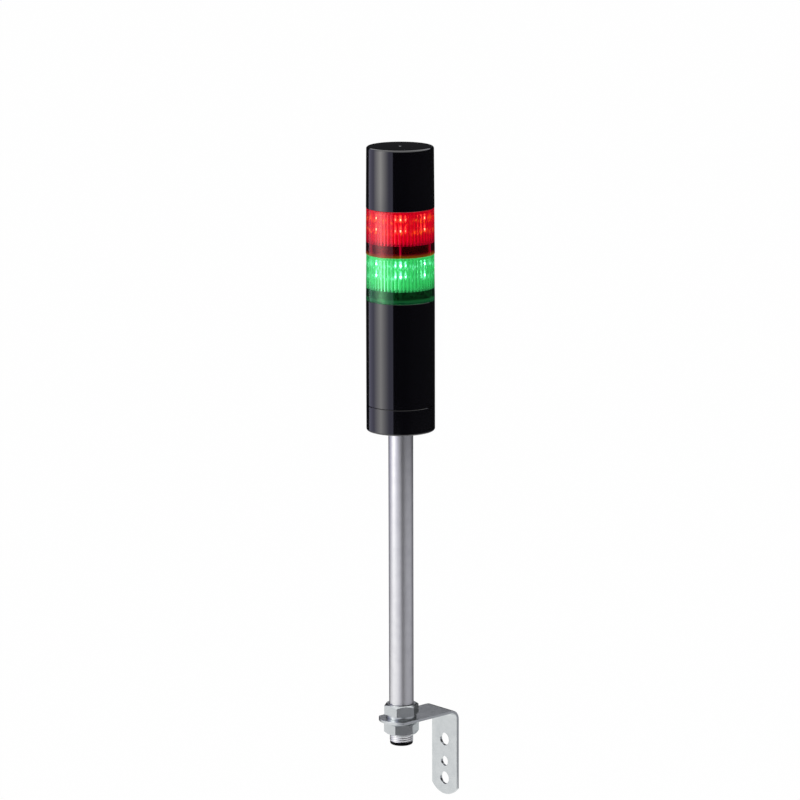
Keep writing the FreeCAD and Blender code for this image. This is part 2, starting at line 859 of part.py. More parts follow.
def make_sounder_base():
    """Socket base with board posts, pin holes, and windows to the trimmer and the switch."""
    floor = red_top + floor_bottom
    deck = red_top + band_height
    posts = [rod(standoff_radius, deck - fit_gap, board_underside(), place) for place in standoff_places()]
    base = make_base(red_top).multiFuse(posts).removeSplitter()
    base = rod_holes(base, floor, deck, rod_places())
    base = base.cut(rod(trimmer_window_radius, floor, deck, trimmer_place()))
    tone = tone_place()
    half_length = tone_window_length / 2
    half_width = tone_window_width / 2
    base = base.cut(block(tone.x - half_length, tone.x + half_length, tone.y - half_width,
                          tone.y + half_width, floor, deck))
    pilot = sounder_screw_radius + screw_clearance
    for place in standoff_places():
        base = base.cut(rod(pilot, board_underside() - sounder_screw_length, board_underside(), place))
    return base


def make_sounder_board():
    """Round board on the three posts."""
    low = board_underside()
    high = low + sounder_board_thickness
    board = rod(sounder_board_radius, low, high)
    for place in standoff_places():
        board = board.cut(rod(sounder_screw_radius + screw_clearance, low, high, place))
    return rod_holes(board, low, high, rod_places())


def make_sounder_screws():
    """Slotted screws through the board into the posts."""
    deck = board_underside() + sounder_board_thickness
    low = board_underside() - sounder_screw_length + fit_gap
    high = deck + sounder_screw_head_height
    reach = sounder_screw_head_radius
    half = screw_slot_width / 2
    screws = []
    for place in standoff_places():
        shank = rod(sounder_screw_radius, low, deck, place)
        head = rod(reach, deck, high, place)
        slot = block(place.x - reach, place.x + reach, place.y - half, place.y + half,
                     high - screw_slot_depth, high)
        screws.append(shank.fuse(head).cut(slot))
    return Part.makeCompound(screws)


def make_sounder_components():
    """Coil, amplifier and two capacitors on top of the sounder board."""
    deck = board_underside() + sounder_board_thickness
    solids = [rod(coil_radius, deck, deck + coil_height, at(component_circle, coil_angle))]
    for angle in filter_angles:
        solids.append(rod(filter_radius, deck, deck + filter_height, at(component_circle, angle)))
    place = at(component_circle, amplifier_angle)
    half = amplifier_width / 2
    solids.append(block(place.x - half, place.x + half, place.y - half, place.y + half,
                        deck, deck + amplifier_height))
    return Part.makeCompound(solids)


def make_sounder_pins():
    """Pins from the slip rings of the red module up through the sounder board."""
    low = red_top + deck_top + ring_thickness + contact_gap
    high = board_underside() + sounder_board_thickness
    return Part.makeCompound([rod(rod_radius, low, high, place) for place in rod_places()])


def make_trimmer():
    """Body of the volume trimmer below the board, bored for the rotor's shaft."""
    place = trimmer_place()
    half = trimmer_size / 2
    high = board_underside()
    low = high - trimmer_height
    body = block(place.x - half, place.x + half, place.y - half, place.y + half, low, high)
    depth = rotor_shaft_length + rotor_gap
    return body.cut(rod(rotor_shaft_radius + rotor_shaft_clearance, low, low + depth, place))


def make_rotor():
    """Slotted rotor of the volume trimmer with its shaft."""
    place = trimmer_place()
    high = board_underside() - trimmer_height - rotor_gap
    low = high - rotor_height
    disc = rod(rotor_radius, low, high, place)
    shaft = rod(rotor_shaft_radius, high, high + rotor_gap + rotor_shaft_length, place)
    half = rotor_slot_width / 2
    slot = block(place.x - rotor_radius, place.x + rotor_radius, place.y - half, place.y + half,
                 low, low + rotor_slot_depth)
    return disc.fuse(shaft).cut(slot)


def make_tone_switch():
    """Body of the tone switch below the board, with the slider's slot."""
    place = tone_place()
    high = board_underside()
    low = high - tone_height
    half_slot = slider_size / 2 + slider_clearance
    reach = slider_travel / 2 + half_slot
    body = block(place.x - tone_length / 2, place.x + tone_length / 2, place.y - tone_width / 2,
                 place.y + tone_width / 2, low, high)
    return body.cut(block(place.x - reach, place.x + reach, place.y - half_slot, place.y + half_slot,
                          low, low + slider_depth + slider_clearance))


def make_tone_slider():
    """Slider of the tone switch, at one end of its slot."""
    place = tone_place()
    low = board_underside() - tone_height
    half = slider_size / 2
    middle = place.x - slider_travel / 2
    return block(middle - half, middle + half, place.y - half, place.y + half,
                 low - slider_reach, low + slider_depth)


def make_resonator():
    """Ring under the ceiling of the cover, with a lip that carries the diaphragm."""
    ceiling = sounder_top - sounder_wall
    low = ceiling - resonator_height
    inner = resonator_radius - resonator_wall
    edge = inner - resonator_lip
    return revolved([(edge, low), (resonator_radius, low), (resonator_radius, ceiling),
                     (inner, ceiling), (inner, low + resonator_lip), (edge, low + resonator_lip)])


def make_diaphragm():
    """Brass disc that rests on the resonator's lip."""
    low = sounder_top - sounder_wall - resonator_height + resonator_lip
    return rod(resonator_radius - resonator_wall - fit_gap, low, low + diaphragm_thickness)


def make_ceramic():
    """Ceramic disc bonded below the diaphragm."""
    high = sounder_top - sounder_wall - resonator_height + resonator_lip
    return rod(ceramic_radius, high - ceramic_thickness, high)


def write_sounder():
    """All pieces of the sounder unit."""
    write("sounder_cover", make_sounder_cover())
    write("sounder_base", make_sounder_base())
    write("sounder_contact_pins", make_sounder_pins())
    write("sounder_board", make_sounder_board())
    write("sounder_components", make_sounder_components())
    write("sounder_screws", make_sounder_screws())
    write("volume_trimmer", make_trimmer())
    write("volume_rotor", make_rotor())
    write("tone_switch", make_tone_switch())
    write("tone_slider", make_tone_slider())
    write("resonator_ring", make_resonator())
    write("piezo_diaphragm", make_diaphragm())
    write("piezo_ceramic", make_ceramic())


def write_stand():
    """Bracket, nuts, washers, pole and bush."""
    write("bracket", make_bracket())
    write("upper_washer", make_washer(plate_top, upper_washer_thickness, upper_washer_diameter))
    lower_washer_z = plate_bottom - lower_washer_thickness
    write("lower_washer", make_washer(lower_washer_z, lower_washer_thickness, lower_washer_diameter))
    write("upper_nut", hex_nut(upper_nut_z, upper_nut_turn, True))
    write("lower_nut", hex_nut(lower_nut_z, lower_nut_turn, False))
    write("pole", make_pole())
    write("pole_bush", make_bush())


write_stand()
write_body()
write_led_module("green", body_top)
write_led_module("red", green_top)
write_sounder()
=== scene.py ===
"""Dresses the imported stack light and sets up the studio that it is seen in.

The frame is in metres, with +Z up along the pole and +Y out of the bracket's outer face. The sizes of
the light's pieces are in millimetres, and those of the studio in metres.
"""

import logging
import math
from dataclasses import dataclass
from enum import Enum
from typing import Any, Callable, Mapping, Sequence

import bmesh
import bpy
import numpy as np
from mathutils import Matrix, Vector


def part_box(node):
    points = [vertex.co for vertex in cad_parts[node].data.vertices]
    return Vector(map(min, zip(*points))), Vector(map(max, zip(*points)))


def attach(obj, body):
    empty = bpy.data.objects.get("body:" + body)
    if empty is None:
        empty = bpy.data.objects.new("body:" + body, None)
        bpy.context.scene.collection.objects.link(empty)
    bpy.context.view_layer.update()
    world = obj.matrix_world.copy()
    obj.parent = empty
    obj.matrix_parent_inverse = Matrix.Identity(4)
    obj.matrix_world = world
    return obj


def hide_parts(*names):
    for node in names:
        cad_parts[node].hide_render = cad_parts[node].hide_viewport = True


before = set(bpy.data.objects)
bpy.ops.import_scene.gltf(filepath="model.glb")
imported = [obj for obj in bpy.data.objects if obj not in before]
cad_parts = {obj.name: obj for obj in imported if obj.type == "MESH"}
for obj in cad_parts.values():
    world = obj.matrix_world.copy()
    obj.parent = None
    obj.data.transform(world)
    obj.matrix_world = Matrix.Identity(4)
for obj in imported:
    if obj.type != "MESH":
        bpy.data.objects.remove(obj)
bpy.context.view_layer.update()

LOG = logging.getLogger("stack_light")
MM = 0.001
POLE_Y = -0.055
FULL_TURN = 2.0 * math.pi
EVEN = (1.0, 1.0, 1.0)
WELD = 1e-7
Colour = tuple[float, float, float, float]
PURE_WHITE: Colour = (1.0, 1.0, 1.0, 1.0)


# Shader graphs


def operator(operation: str, turned: bool = False) -> Callable[..., "Term"]:
    """A method of Term that adds a Math node over itself and what it is given, or the other way round."""

    def apply(term: "Term", *others: Any) -> "Term":
        """The node's result."""
        return term.maths(operation, *((*others, term) if turned else (term, *others)))

    return apply


class Term:
    """A socket in a shader expression, in radians where it is an angle. Operators on it add Math nodes.

    at_least is the larger of two values, size the absolute value, and part the fractional part.
    """

    __add__, __radd__ = operator("ADD"), operator("ADD", True)
    __sub__, __rsub__ = operator("SUBTRACT"), operator("SUBTRACT", True)
    __mul__, __rmul__ = operator("MULTIPLY"), operator("MULTIPLY", True)
    __truediv__, __pow__ = operator("DIVIDE"), operator("POWER")
    at_least, size, part = operator("MAXIMUM"), operator("ABSOLUTE"), operator("FRACT")
    sine, arc_cosine = operator("SINE"), operator("ARCCOSINE")

    def __init__(self, graph: "ShaderGraph", socket: bpy.types.NodeSocket) -> None:
        """Keeps the socket and the graph it belongs to."""
        self.graph = graph
        self.socket = socket

    def maths(self, operation: str, *operands: Any) -> "Term":
        """A Math node over the operands."""
        return self.graph.node("ShaderNodeMath", {"operation": operation}, dict(enumerate(operands)))

    def ramp(self, low: float, high: float) -> "Term":
        """Smooth step from 0 at low to 1 at high. With low above high it steps down."""
        first, last = (0.0, 1.0) if low < high else (1.0, 0.0)
        return self.graph.node("ShaderNodeMapRange", {"interpolation_type": "SMOOTHSTEP"},
                               {"Value": self, "From Min": min(low, high), "From Max": max(low, high),
                                "To Min": first, "To Max": last})

    def between(self, low: float, high: float) -> "Term":
        """Low where self is 0, high where it is 1, and even steps between them."""
        return low + (high - low) * self


class ShaderGraph:
    """Node tree of one material or world, with the places on the object as terms."""

    def __init__(self, owner: bpy.types.Material | bpy.types.World) -> None:
        """Starts an empty tree on a material or world."""
        owner.use_nodes = True
        self.owner = owner
        self.tree = owner.node_tree
        self.tree.nodes.clear()

    @staticmethod
    def _socket(sockets: Any, key: int | str) -> bpy.types.NodeSocket:
        """The socket with an index, an identifier or a name."""
        for socket in sockets:
            if socket.identifier == key:
                return socket
        return sockets[key]

    def node(self, kind: str, settings: Mapping[str, Any] | None = None,
             inputs: Mapping[Any, Any] | None = None, output: int | str = 0) -> Term:
        """Adds a node, sets it, then fills its sockets.

        Args:
            kind: Blender's name of the node type.
            settings: properties of the node, set before its sockets.
            inputs: socket index, identifier or name to a number, colour or Term.
            output: the socket that is returned.
        """
        made = self.tree.nodes.new(kind)
        for name, value in (settings or {}).items():
            setattr(made, name, value)
        for key, value in (inputs or {}).items():
            socket = self._socket(made.inputs, key)
            if isinstance(value, Term):
                self.tree.links.new(value.socket, socket)
            else:
                socket.default_value = value
        if not made.outputs:
            return Term(self, made.inputs[0])
        return Term(self, self._socket(made.outputs, output))

    def place(self, scale: Sequence[float] = EVEN) -> Term:
        """Object coordinates about the pole axis, stretched by a scale along each axis."""
        coordinates = self.node("ShaderNodeTexCoord", output="Object")
        shifted = self.node("ShaderNodeVectorMath", {"operation": "SUBTRACT"},
                            {0: coordinates, 1: (0.0, POLE_Y, 0.0)})
        return self.node("ShaderNodeVectorMath", {"operation": "MULTIPLY"}, {0: shifted, 1: tuple(scale)})

    def axes(self) -> tuple[Term, Term, Term]:
        """X, Y and Z about the pole axis, in metres."""
        split = self.node("ShaderNodeSeparateXYZ", None, {0: self.place()})
        x, y, z = (Term(self, output) for output in split.socket.node.outputs)
        return x, y, z

    def around(self) -> Term:
        """Angle about the pole axis in radians."""
        x, y, _ = self.axes()
        return y.maths("ARCTAN2", y, x)

    def beside(self, sides: int, turn: float) -> Term:
        """Angle in radians to the middle of the nearest side of a column, one of them at turn degrees."""
        share = self.around() * (sides / FULL_TURN) + (0.5 - turn * sides / 360.0)
        return (share.part() - 0.5).size() * (FULL_TURN / sides)

    def noise(self, size_mm: float, detail: float = 2.0, stretch: Sequence[float] = EVEN) -> Term:
        """Fractal noise between 0 and 1, with largest features of a size, some finer layers, and a
        factor on its frequency along each axis.
        """
        return self.node("ShaderNodeTexNoise", {"noise_dimensions": "3D"},
                         {"Vector": self.place(stretch), "Scale": 1.0 / (size_mm * MM), "Detail": detail})

    def blend(self, factor: Any, first: Any, second: Any) -> Term:
        """Colour between two colours."""
        return self.node("ShaderNodeMix", {"data_type": "RGBA"},
                         {"Factor_Float": factor, "A_Color": first, "B_Color": second}, "Result_Color")

    def scaled(self, colour: Any, amount: Any) -> Term:
        """Colour times an amount."""
        red_green_blue = colour if isinstance(colour, Term) else tuple(colour)[:3]
        return self.node("ShaderNodeVectorMath", {"operation": "SCALE"}, {0: red_green_blue, "Scale": amount})

    def plus(self, first: Any, second: Any) -> Term:
        """Sum of two colours."""
        return self.node("ShaderNodeVectorMath", {"operation": "ADD"}, {0: first, 1: second})

    def bump(self, height: Term, depth_mm: float) -> Term:
        """Normal tilted by a height between 0 and 1 that stands for a depth."""
        return self.node("ShaderNodeBump", None,
                         {"Strength": 1.0, "Distance": depth_mm * MM, "Height": height})

    def principled(self, **sockets: Any) -> Term:
        """Principled shader. Underscores in the names stand for spaces."""
        inputs = {name.replace("_", " "): value for name, value in sockets.items()}
        return self.node("ShaderNodeBsdfPrincipled", None, inputs)

    def emission(self, colour: Any, strength: float = 1.0) -> Term:
        """Light of a colour."""
        return self.node("ShaderNodeEmission", None, {"Color": colour, "Strength": strength})

    def mixed(self, share: Any, first: Term, second: Term) -> Term:
        """Two shaders, with a share of the second."""
        return self.node("ShaderNodeMixShader", None, {0: share, 1: first, 2: second})

    def finish(self, shader: Term) -> None:
        """Links a shader to the output."""
        kind = "World" if isinstance(self.owner, bpy.types.World) else "Material"
        self.node("ShaderNodeOutput" + kind, None, {"Surface": shader})


# Finishes


@dataclass(frozen=True)
class Finish:
    """A finish of the object. Each kind paints its own shader."""

    name: str
    slot: str

    def paint(self, graph: ShaderGraph) -> Term:
        """The finish's shader."""
        raise NotImplementedError

    def material(self) -> bpy.types.Material:
        """The material, made once and shared."""
        name = self.name + "_finish"
        if name not in bpy.data.materials:
            graph = ShaderGraph(bpy.data.materials.new(name))
            graph.finish(self.paint(graph))
        return bpy.data.materials[name]


@dataclass(frozen=True)
class Moulding(Finish):
    """Opaque moulded plastic, polished or satin, with a faint uneven skin."""

    colour: Colour
    roughness: float
    coat: float = 0.0
    grain_mm: float = 0.25
    grain_depth_mm: float = 0.002
    specular: float = 0.5
    cloud_mm: float = 14.0
    lightening: float = 1.35
    coat_roughness: float = 0.03

    def paint(self, graph: ShaderGraph) -> Term:
        """Base colour and roughness drift with broad noise, and fine noise gives the skin."""
        cloud = graph.noise(self.cloud_mm, 3.0)
        grain = graph.noise(self.grain_mm, 2.0)
        light = tuple(min(1.0, channel * self.lightening) for channel in self.colour[:3]) + (1.0,)
        return graph.principled(
            Base_Color=graph.blend(cloud, self.colour, light),
            Roughness=self.roughness * cloud.between(0.85, 1.15),
            Specular_IOR_Level=self.specular, Coat_Weight=self.coat, Coat_Roughness=self.coat_roughness,
            Normal=graph.bump(grain, self.grain_depth_mm))


@dataclass(frozen=True)
class GlowPaintedClearMoulding(Finish):
    """Clear coloured moulding, painted to glow where the LEDs stand behind it. Its heights are in metres."""

    tint: Colour
    # painted light: the next three colours paint the lens's glow, its foot's light and its glints
    glow: Colour
    foot_glow: Colour
    painted_glint: Colour
    skirt_glow_level: float
    flutes: int
    faces: int
    turn: float
    rows: tuple[float, ...]
    low: float
    lit: float
    high: float
    # painted light: levels of the lens's painted glow, streaks, flute stripes, beams and glint tail
    glow_strength: float = 0.12
    dark_level: float = 0.01
    even_level: float = 0.48
    glow_streak_level: float = 0.25
    flute_levels: tuple[float, float] = (0.25, 0.85)
    beam_level: float = 0.4
    tail_level: float = 0.8
    beam_half: float = 0.055

    def paint(self, graph: ShaderGraph) -> Term:
        """Painted glow over the lit height, in the rhythm of the flutes, and little of it in the skirt.

        A narrow painted beam stands in front of each column of LEDs, painted glints of their light lie
        at their heights, and the foot takes on painted light of what stands below it.
        """
        z = graph.axes()[2]
        lit = z.ramp(self.lit - 0.3 * MM, self.lit + 0.3 * MM)
        lower = z.ramp(self.high - 12.0 * MM, self.high - 18.0 * MM)
        # painted stripes, streaks and beams of light on the lens
        rhythm = (graph.around() * float(self.flutes)).sine()
        glow_streaks = graph.noise(0.8, 2.0, (1.0, 1.0, 0.04))
        beam = graph.beside(self.faces, self.turn).ramp(self.beam_half, 0.0)
        shine = (self.even_level + self.glow_streak_level * glow_streaks
                 + lower.between(*self.flute_levels) * rhythm + self.beam_level * beam)
        skirt = beam * glow_streaks.ramp(0.3, 0.6) * self.skirt_glow_level
        amount = self.dark_level + lit * shine + (1.0 - lit) * skirt
        # painted light on the foot from the module below
        foot = z.ramp(self.low + 4.0 * MM, self.low + 0.5 * MM)
        return graph.principled(
            Base_Color=self.tint, Roughness=graph.noise(6.0).between(0.04, 0.07),
            IOR=1.5, Transmission_Weight=1.0,
            Emission_Color=graph.blend(
                self.painted_glints(graph, z, beam),
                graph.scaled(graph.blend(foot, self.glow, self.foot_glow), amount.at_least(foot)),
                self.painted_glint),
            Emission_Strength=self.glow_strength)

    def painted_glints(self, graph: ShaderGraph, z: Term, beam: Term) -> Term:
        """Painted broken glints at the LED rows, and a painted tail over the upper row in each beam."""
        level: Any = 0.0
        for row in self.rows:
            level = (z - row).size().ramp(3.4 * MM, 0.6 * MM).at_least(level)
        broken = level * graph.noise(1.7, 1.0, (1.0, 1.0, 0.45)).ramp(0.54, 0.70)
        top = max(self.rows)
        tail = beam * z.ramp(top + 7.0 * MM, top + 1.5 * MM) * z.ramp(top - 1.0 * MM, top + 1.0 * MM)
        return broken.at_least(self.tail_level * tail)


@dataclass(frozen=True)
class LitPlastic(Finish):
    """White plastic inside a lit module, painted to glow with the light of its LEDs."""

    colour: Colour
    glow: Colour
    glow_strength: float
    light: Colour = (0.9, 0.9, 0.88, 1.0)

    def paint(self, graph: ShaderGraph) -> Term:
        """Even white with a mottled painted glow."""
        cloud = graph.noise(5.0, 2.0)
        return graph.principled(
            Base_Color=graph.blend(cloud, self.colour, self.light), Roughness=0.5,
            # painted glow of the LEDs' light
            Emission_Color=graph.scaled(self.glow, cloud.between(0.7, 1.3)),
            Emission_Strength=self.glow_strength,
            Normal=graph.bump(graph.noise(0.3), 0.004))


@dataclass(frozen=True)
class Emitter(Finish):
    """Glowing die of an LED."""

    body: Colour
    core: Colour
    strength: float = 20.0

    def paint(self, graph: ShaderGraph) -> Term:
        """A slightly uneven glow."""
        cloud = graph.noise(0.4)
        return graph.principled(
            Base_Color=self.body, Roughness=cloud.between(0.2, 0.3),
            Emission_Color=graph.scaled(self.core, cloud.between(0.8, 1.2)),
            Emission_Strength=self.strength)


@dataclass(frozen=True)
class Metal(Finish):
    """Drawn, plated or turned metal with fine lines, stains and scratches."""

    colour: Colour
    shade: Colour
    roughness: float
    metallic: float = 1.0
    line_mm: float = 0.12
    line_stretch: tuple[float, float, float] = (1.0, 1.0, 0.02)
    line_depth_mm: float = 0.002
    cloud_mm: float = 9.0

    def paint(self, graph: ShaderGraph) -> Term:
        """Stretched noise gives the lines, and a cloud of stains shifts colour and roughness."""
        lines = graph.noise(self.line_mm, 3.0, self.line_stretch)
        cloud = graph.noise(self.cloud_mm, 4.0)
        stain = cloud.ramp(0.35, 0.75)
        return graph.principled(
            Base_Color=graph.blend(0.25 * lines + 0.5 * stain, self.colour, self.shade),
            Metallic=self.metallic,
            Roughness=self.roughness * (0.8 + 0.25 * lines + 0.3 * cloud),
            Normal=graph.bump(lines, self.line_depth_mm))


@dataclass(frozen=True)
class CircuitBoard(Finish):
    """Lacquered board with copper tracks under the lacquer."""

    lacquer: Colour
    track: Colour
    pitch_mm: float = 2.54
    stripe_ends: tuple[float, float] = (0.14, 0.10)
    rung_ends: tuple[float, float] = (0.12, 0.08)
    track_mm: float = 0.03

    def paint(self, graph: ShaderGraph) -> Term:
        """Tracks are narrow stripes on a square grid that noise switches on and off."""
        x, y, z = graph.axes()
        across = ((x + y) / (self.pitch_mm * MM)).part()
        along = (z / (self.pitch_mm * MM)).part()
        patch = graph.noise(6.0, 1.0)
        stripes = (across - 0.5).size().ramp(*self.stripe_ends) * patch.ramp(0.45, 0.5)
        rungs = (along - 0.5).size().ramp(*self.rung_ends) * patch.ramp(0.5, 0.45)
        tracks = stripes.at_least(rungs)
        return graph.principled(
            Base_Color=graph.blend(tracks, self.lacquer, self.track), Roughness=patch.between(0.25, 0.45),
            Normal=graph.bump(tracks, self.track_mm))


@dataclass(frozen=True)
class LitBoard(Finish):
    """White board with a painted halo round its LEDs, further up than down, and their painted glow."""

    # painted light: bounce colours the boards' painted glow, and glow their painted halo
    bounce: Colour
    bounce_level: float
    glow: Colour
    face: float
    faces: int
    turn: float
    rows: tuple[float, ...]
    lacquer: Colour = (0.8, 0.81, 0.78, 1.0)
    shade: Colour = (0.70, 0.70, 0.66, 1.0)
    strength: float = 2.6
    reach: float = 3.4 * MM
    bright: float = 0.35
    lift: float = 0.45

    def paint(self, graph: ShaderGraph) -> Term:
        """The painted halo falls with the distance from the LED, whose upper side counts for less."""
        z = graph.axes()[2]
        side = graph.beside(self.faces, self.turn) * self.face
        halo: Any = 0.0
        for row in self.rows:
            up = (z - row).size() * (1.0 - self.lift * (z - row).ramp(-0.1 * MM, 0.1 * MM))
            halo = halo + ((side ** 2.0 + up ** 2.0) ** 0.5).ramp(self.reach, self.bright * self.reach)
        cloud = graph.noise(3.0)
        bounce = graph.scaled(self.bounce, self.bounce_level * cloud.between(0.75, 1.25))
        return graph.principled(
            Base_Color=graph.blend(cloud, self.lacquer, self.shade), Roughness=cloud.between(0.3, 0.4),
            # painted glow and painted halo
            Emission_Color=graph.plus(bounce, graph.scaled(self.glow, halo)),
            Emission_Strength=self.strength)


class LedColour(Enum):
    """Colours that the LED modules come in."""

    RED = "red"
    GREEN = "green"


BLACK_GLOSS = Moulding("black_gloss_plastic", "black_gloss", (0.0012, 0.0011, 0.0020, 1.0), 0.09, 1.0)
BLACK_SATIN = Moulding("black_satin_moulding", "black_matte", (0.0015, 0.0015, 0.0018, 1.0), 0.25,
                       specular=0.05)
BLACK_MATT = Moulding("black_satin_plastic", "black_matte", (0.011, 0.011, 0.012, 1.0), 0.42,
                      grain_mm=0.4, grain_depth_mm=0.01)
GREY_SATIN = Moulding("grey_satin_plastic", "black_matte", (0.045, 0.044, 0.043, 1.0), 0.28,
                      grain_mm=0.4, grain_depth_mm=0.01, specular=1.0)
WHITE = Moulding("white_plastic", "white_plastic", (0.78, 0.78, 0.75, 1.0), 0.45)
PALE_GREY = Moulding("led_package_plastic", "white_plastic", (0.26, 0.26, 0.25, 1.0), 0.45)
TERMINAL_GREEN = Moulding("terminal_plastic", "terminal_green", (0.03, 0.22, 0.08, 1.0), 0.4)
TRIMMER_BLUE = Moulding("trimmer_plastic", "trimmer_blue", (0.03, 0.08, 0.36, 1.0), 0.35)
PACKAGE_BLACK = Moulding("package_plastic", "component_black", (0.02, 0.02, 0.021, 1.0), 0.5,
                         grain_mm=0.15, grain_depth_mm=0.01)
RUBBER = Moulding("seal_rubber", "rubber", (0.018, 0.018, 0.018, 1.0), 0.7,
                  grain_mm=0.2, grain_depth_mm=0.01)
CERAMIC = Moulding("fired_ceramic", "ceramic_grey", (0.62, 0.62, 0.6, 1.0), 0.3)
SATIN_ALUMINIUM = Metal("satin_aluminium", "satin_aluminium", (0.82, 0.82, 0.83, 1.0),
                        (0.70, 0.70, 0.72, 1.0), 0.30)
ZINC = Metal("zinc_plate", "zinc_steel", (0.66, 0.685, 0.69, 1.0), (0.55, 0.58, 0.59, 1.0), 0.22,
             metallic=0.95, line_mm=0.5, line_stretch=EVEN, line_depth_mm=0.004)
SCREW_STEEL = Metal("screw_steel", "screw_steel", (0.62, 0.62, 0.62, 1.0), (0.42, 0.42, 0.42, 1.0), 0.3,
                    line_stretch=EVEN)
BRASS = Metal("bright_brass", "brass", (0.80, 0.58, 0.26, 1.0), (0.55, 0.36, 0.14, 1.0), 0.25,
              line_stretch=EVEN)
GREEN_BOARD = CircuitBoard("green_board", "green_board", (0.015, 0.13, 0.04, 1.0), (0.04, 0.26, 0.07, 1.0))


# Surfaces


@dataclass
class Surface:
    """Vertices and quads of a surface, in metres."""

    points: np.ndarray
    quads: np.ndarray

    @classmethod
    def grid(cls, points: np.ndarray, wrap_rows: bool, wrap_columns: bool) -> "Surface":
        """Joins rows by columns of points into quads, the last row or column to the first if it wraps.

        Each quad takes a point, its neighbours in the next column and row, and the one between them.
        """
        rows, columns = points.shape[:2]
        i, j = np.indices((rows - 1 + wrap_rows, columns - 1 + wrap_columns))
        next_i, next_j = (i + 1) % rows, (j + 1) % columns
        quads = np.stack([i * columns + j, i * columns + next_j,
                          next_i * columns + next_j, next_i * columns + j], axis=-1)
        return cls(points.reshape(-1, 3), quads.reshape(-1, 4))

    @classmethod
    def revolved(cls, radii: np.ndarray, heights: np.ndarray, turns: np.ndarray) -> "Surface":
        """Carries a closed profile round the pole axis.

        A point is (r cos t, r sin t, z). Its radius r and height z, in millimetres, belong to the row and
        may change with the column's turn t, in radians.
        """
        radii, heights, turns = np.broadcast_arrays(radii, heights, turns[None, :])
        points = np.stack([radii * np.cos(turns), radii * np.sin(turns), heights], axis=-1) * MM
        points[..., 1] += POLE_Y
        return cls.grid(points, True, True)

    @classmethod
    def standing(cls, profile: Sequence[Sequence[float]], turns: np.ndarray, angle: float,
                 height: float) -> "Surface":
        """Carries a closed profile round a level axis that leaves the pole axis at an angle and a height.

        A point is n d + t r cos u + z r sin u, where n is the level axis, t the level direction across
        it, and u the turn. Each row of the profile is r and the distance d from the pole axis, in
        millimetres.
        """
        radius, distance = np.array(profile, float).T[:, :, None]
        ahead = np.array([math.cos(angle), math.sin(angle), 0.0])
        across = np.array([-math.sin(angle), math.cos(angle), 0.0])
        level = radius * np.cos(turns)
        points = distance[..., None] * ahead + level[..., None] * across
        points[..., 2] += radius * np.sin(turns) + height
        points *= MM
        points[..., 1] += POLE_Y
        return cls.grid(points, True, True)

    @classmethod
    def joined(cls, parts: Sequence["Surface"]) -> "Surface":
        """Several surfaces as one, each with its quads moved on past the points before it."""
        starts = np.cumsum([0] + [len(part.points) for part in parts[:-1]])
        return cls(np.concatenate([part.points for part in parts]),
                   np.concatenate([part.quads + start for part, start in zip(parts, starts)]))

    def mesh(self, name: str) -> bpy.types.Mesh:
        """The surface as a mesh."""
        made = bpy.data.meshes.new(name)
        made.from_pydata(self.points.tolist(), [], self.quads.tolist())
        return made

    def piece(self, name: str, finish: Finish, body: str, nodes: Sequence[str],
              sharp: float = 32.0, bevel_mm: float = 0.0) -> bpy.types.Object:
        """Makes a riding piece of the surface. The arguments are those of dress."""
        return dress(self.mesh(name), name, finish, body, nodes, sharp, bevel_mm)


def placed(name: str, data: bpy.types.ID) -> bpy.types.Object:
    """A new object in the scene."""
    made = bpy.data.objects.new(name, data)
    bpy.context.scene.collection.objects.link(made)
    return made


def dress(mesh: bpy.types.Mesh, name: str, finish: Finish, body: str, nodes: Sequence[str],
          sharp: float, bevel_mm: float) -> bpy.types.Object:
    """Welds a mesh, shades it, and makes a riding piece of it.

    Edges above the sharp angle, in degrees, are creases, and a bevel of some width rounds them. The
    piece moves with its body and stands for the CAD nodes.
    """
    shape = bmesh.new()
    shape.from_mesh(mesh)
    bmesh.ops.remove_doubles(shape, verts=shape.verts, dist=WELD)
    shape.to_mesh(mesh)
    shape.free()
    mesh.polygons.foreach_set("use_smooth", np.ones(len(mesh.polygons), bool))
    mesh.set_sharp_from_angle(angle=math.radians(sharp))
    mesh.materials.append(finish.material())
    piece = placed(name, mesh)
    if bevel_mm > 0.0:
        rounding = piece.modifiers.new("rounding", "BEVEL")
        rounding.width = bevel_mm * MM
        rounding.segments = 3
        rounding.limit_method = "ANGLE"
        rounding.angle_limit = math.radians(sharp)
        rounding.harden_normals = True
    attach(piece, body)
    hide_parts(*nodes)
    LOG.info("%s: %d faces in %s", name, len(mesh.polygons), finish.name)
    return piece


def rounded(corners: Sequence[Sequence[float]], steps: int = 5) -> np.ndarray:
    """Profile through corners, some of them rounded.

    A rounded corner is the arc that touches both of its sides: its centre lies on their bisector at
    r / sin(half angle), and the arc's points turn about it in equal steps. A corner is (r, z) or
    (r, z, rounding radius), in millimetres.
    """
    points = np.array([corner[:2] for corner in corners], float)
    pieces = []
    for index, corner in enumerate(corners):
        point = points[index]
        if len(corner) == 2:
            pieces.append(point[None, :])
            continue
        back = points[index - 1] - point
        on = points[(index + 1) % len(points)] - point
        back /= np.linalg.norm(back)
        on /= np.linalg.norm(on)
        half = math.acos(np.clip(back @ on, -1.0, 1.0)) / 2.0
        bisector = (back + on) / np.linalg.norm(back + on)
        centre = point + bisector * corner[2] / math.sin(half)
        first, last = (math.atan2(*(point + side * corner[2] / math.tan(half) - centre)[::-1])
                       for side in (back, on))
        sweep = (last - first + math.pi) % FULL_TURN - math.pi
        turn = first + sweep * np.linspace(0.0, 1.0, steps + 1)
        pieces.append(centre + corner[2] * np.stack([np.cos(turn), np.sin(turn)], axis=-1))
    return np.concatenate(pieces)


def circle(columns: int) -> np.ndarray:
    """Angles of columns evenly round a circle."""
    return np.linspace(0.0, FULL_TURN, columns, endpoint=False)


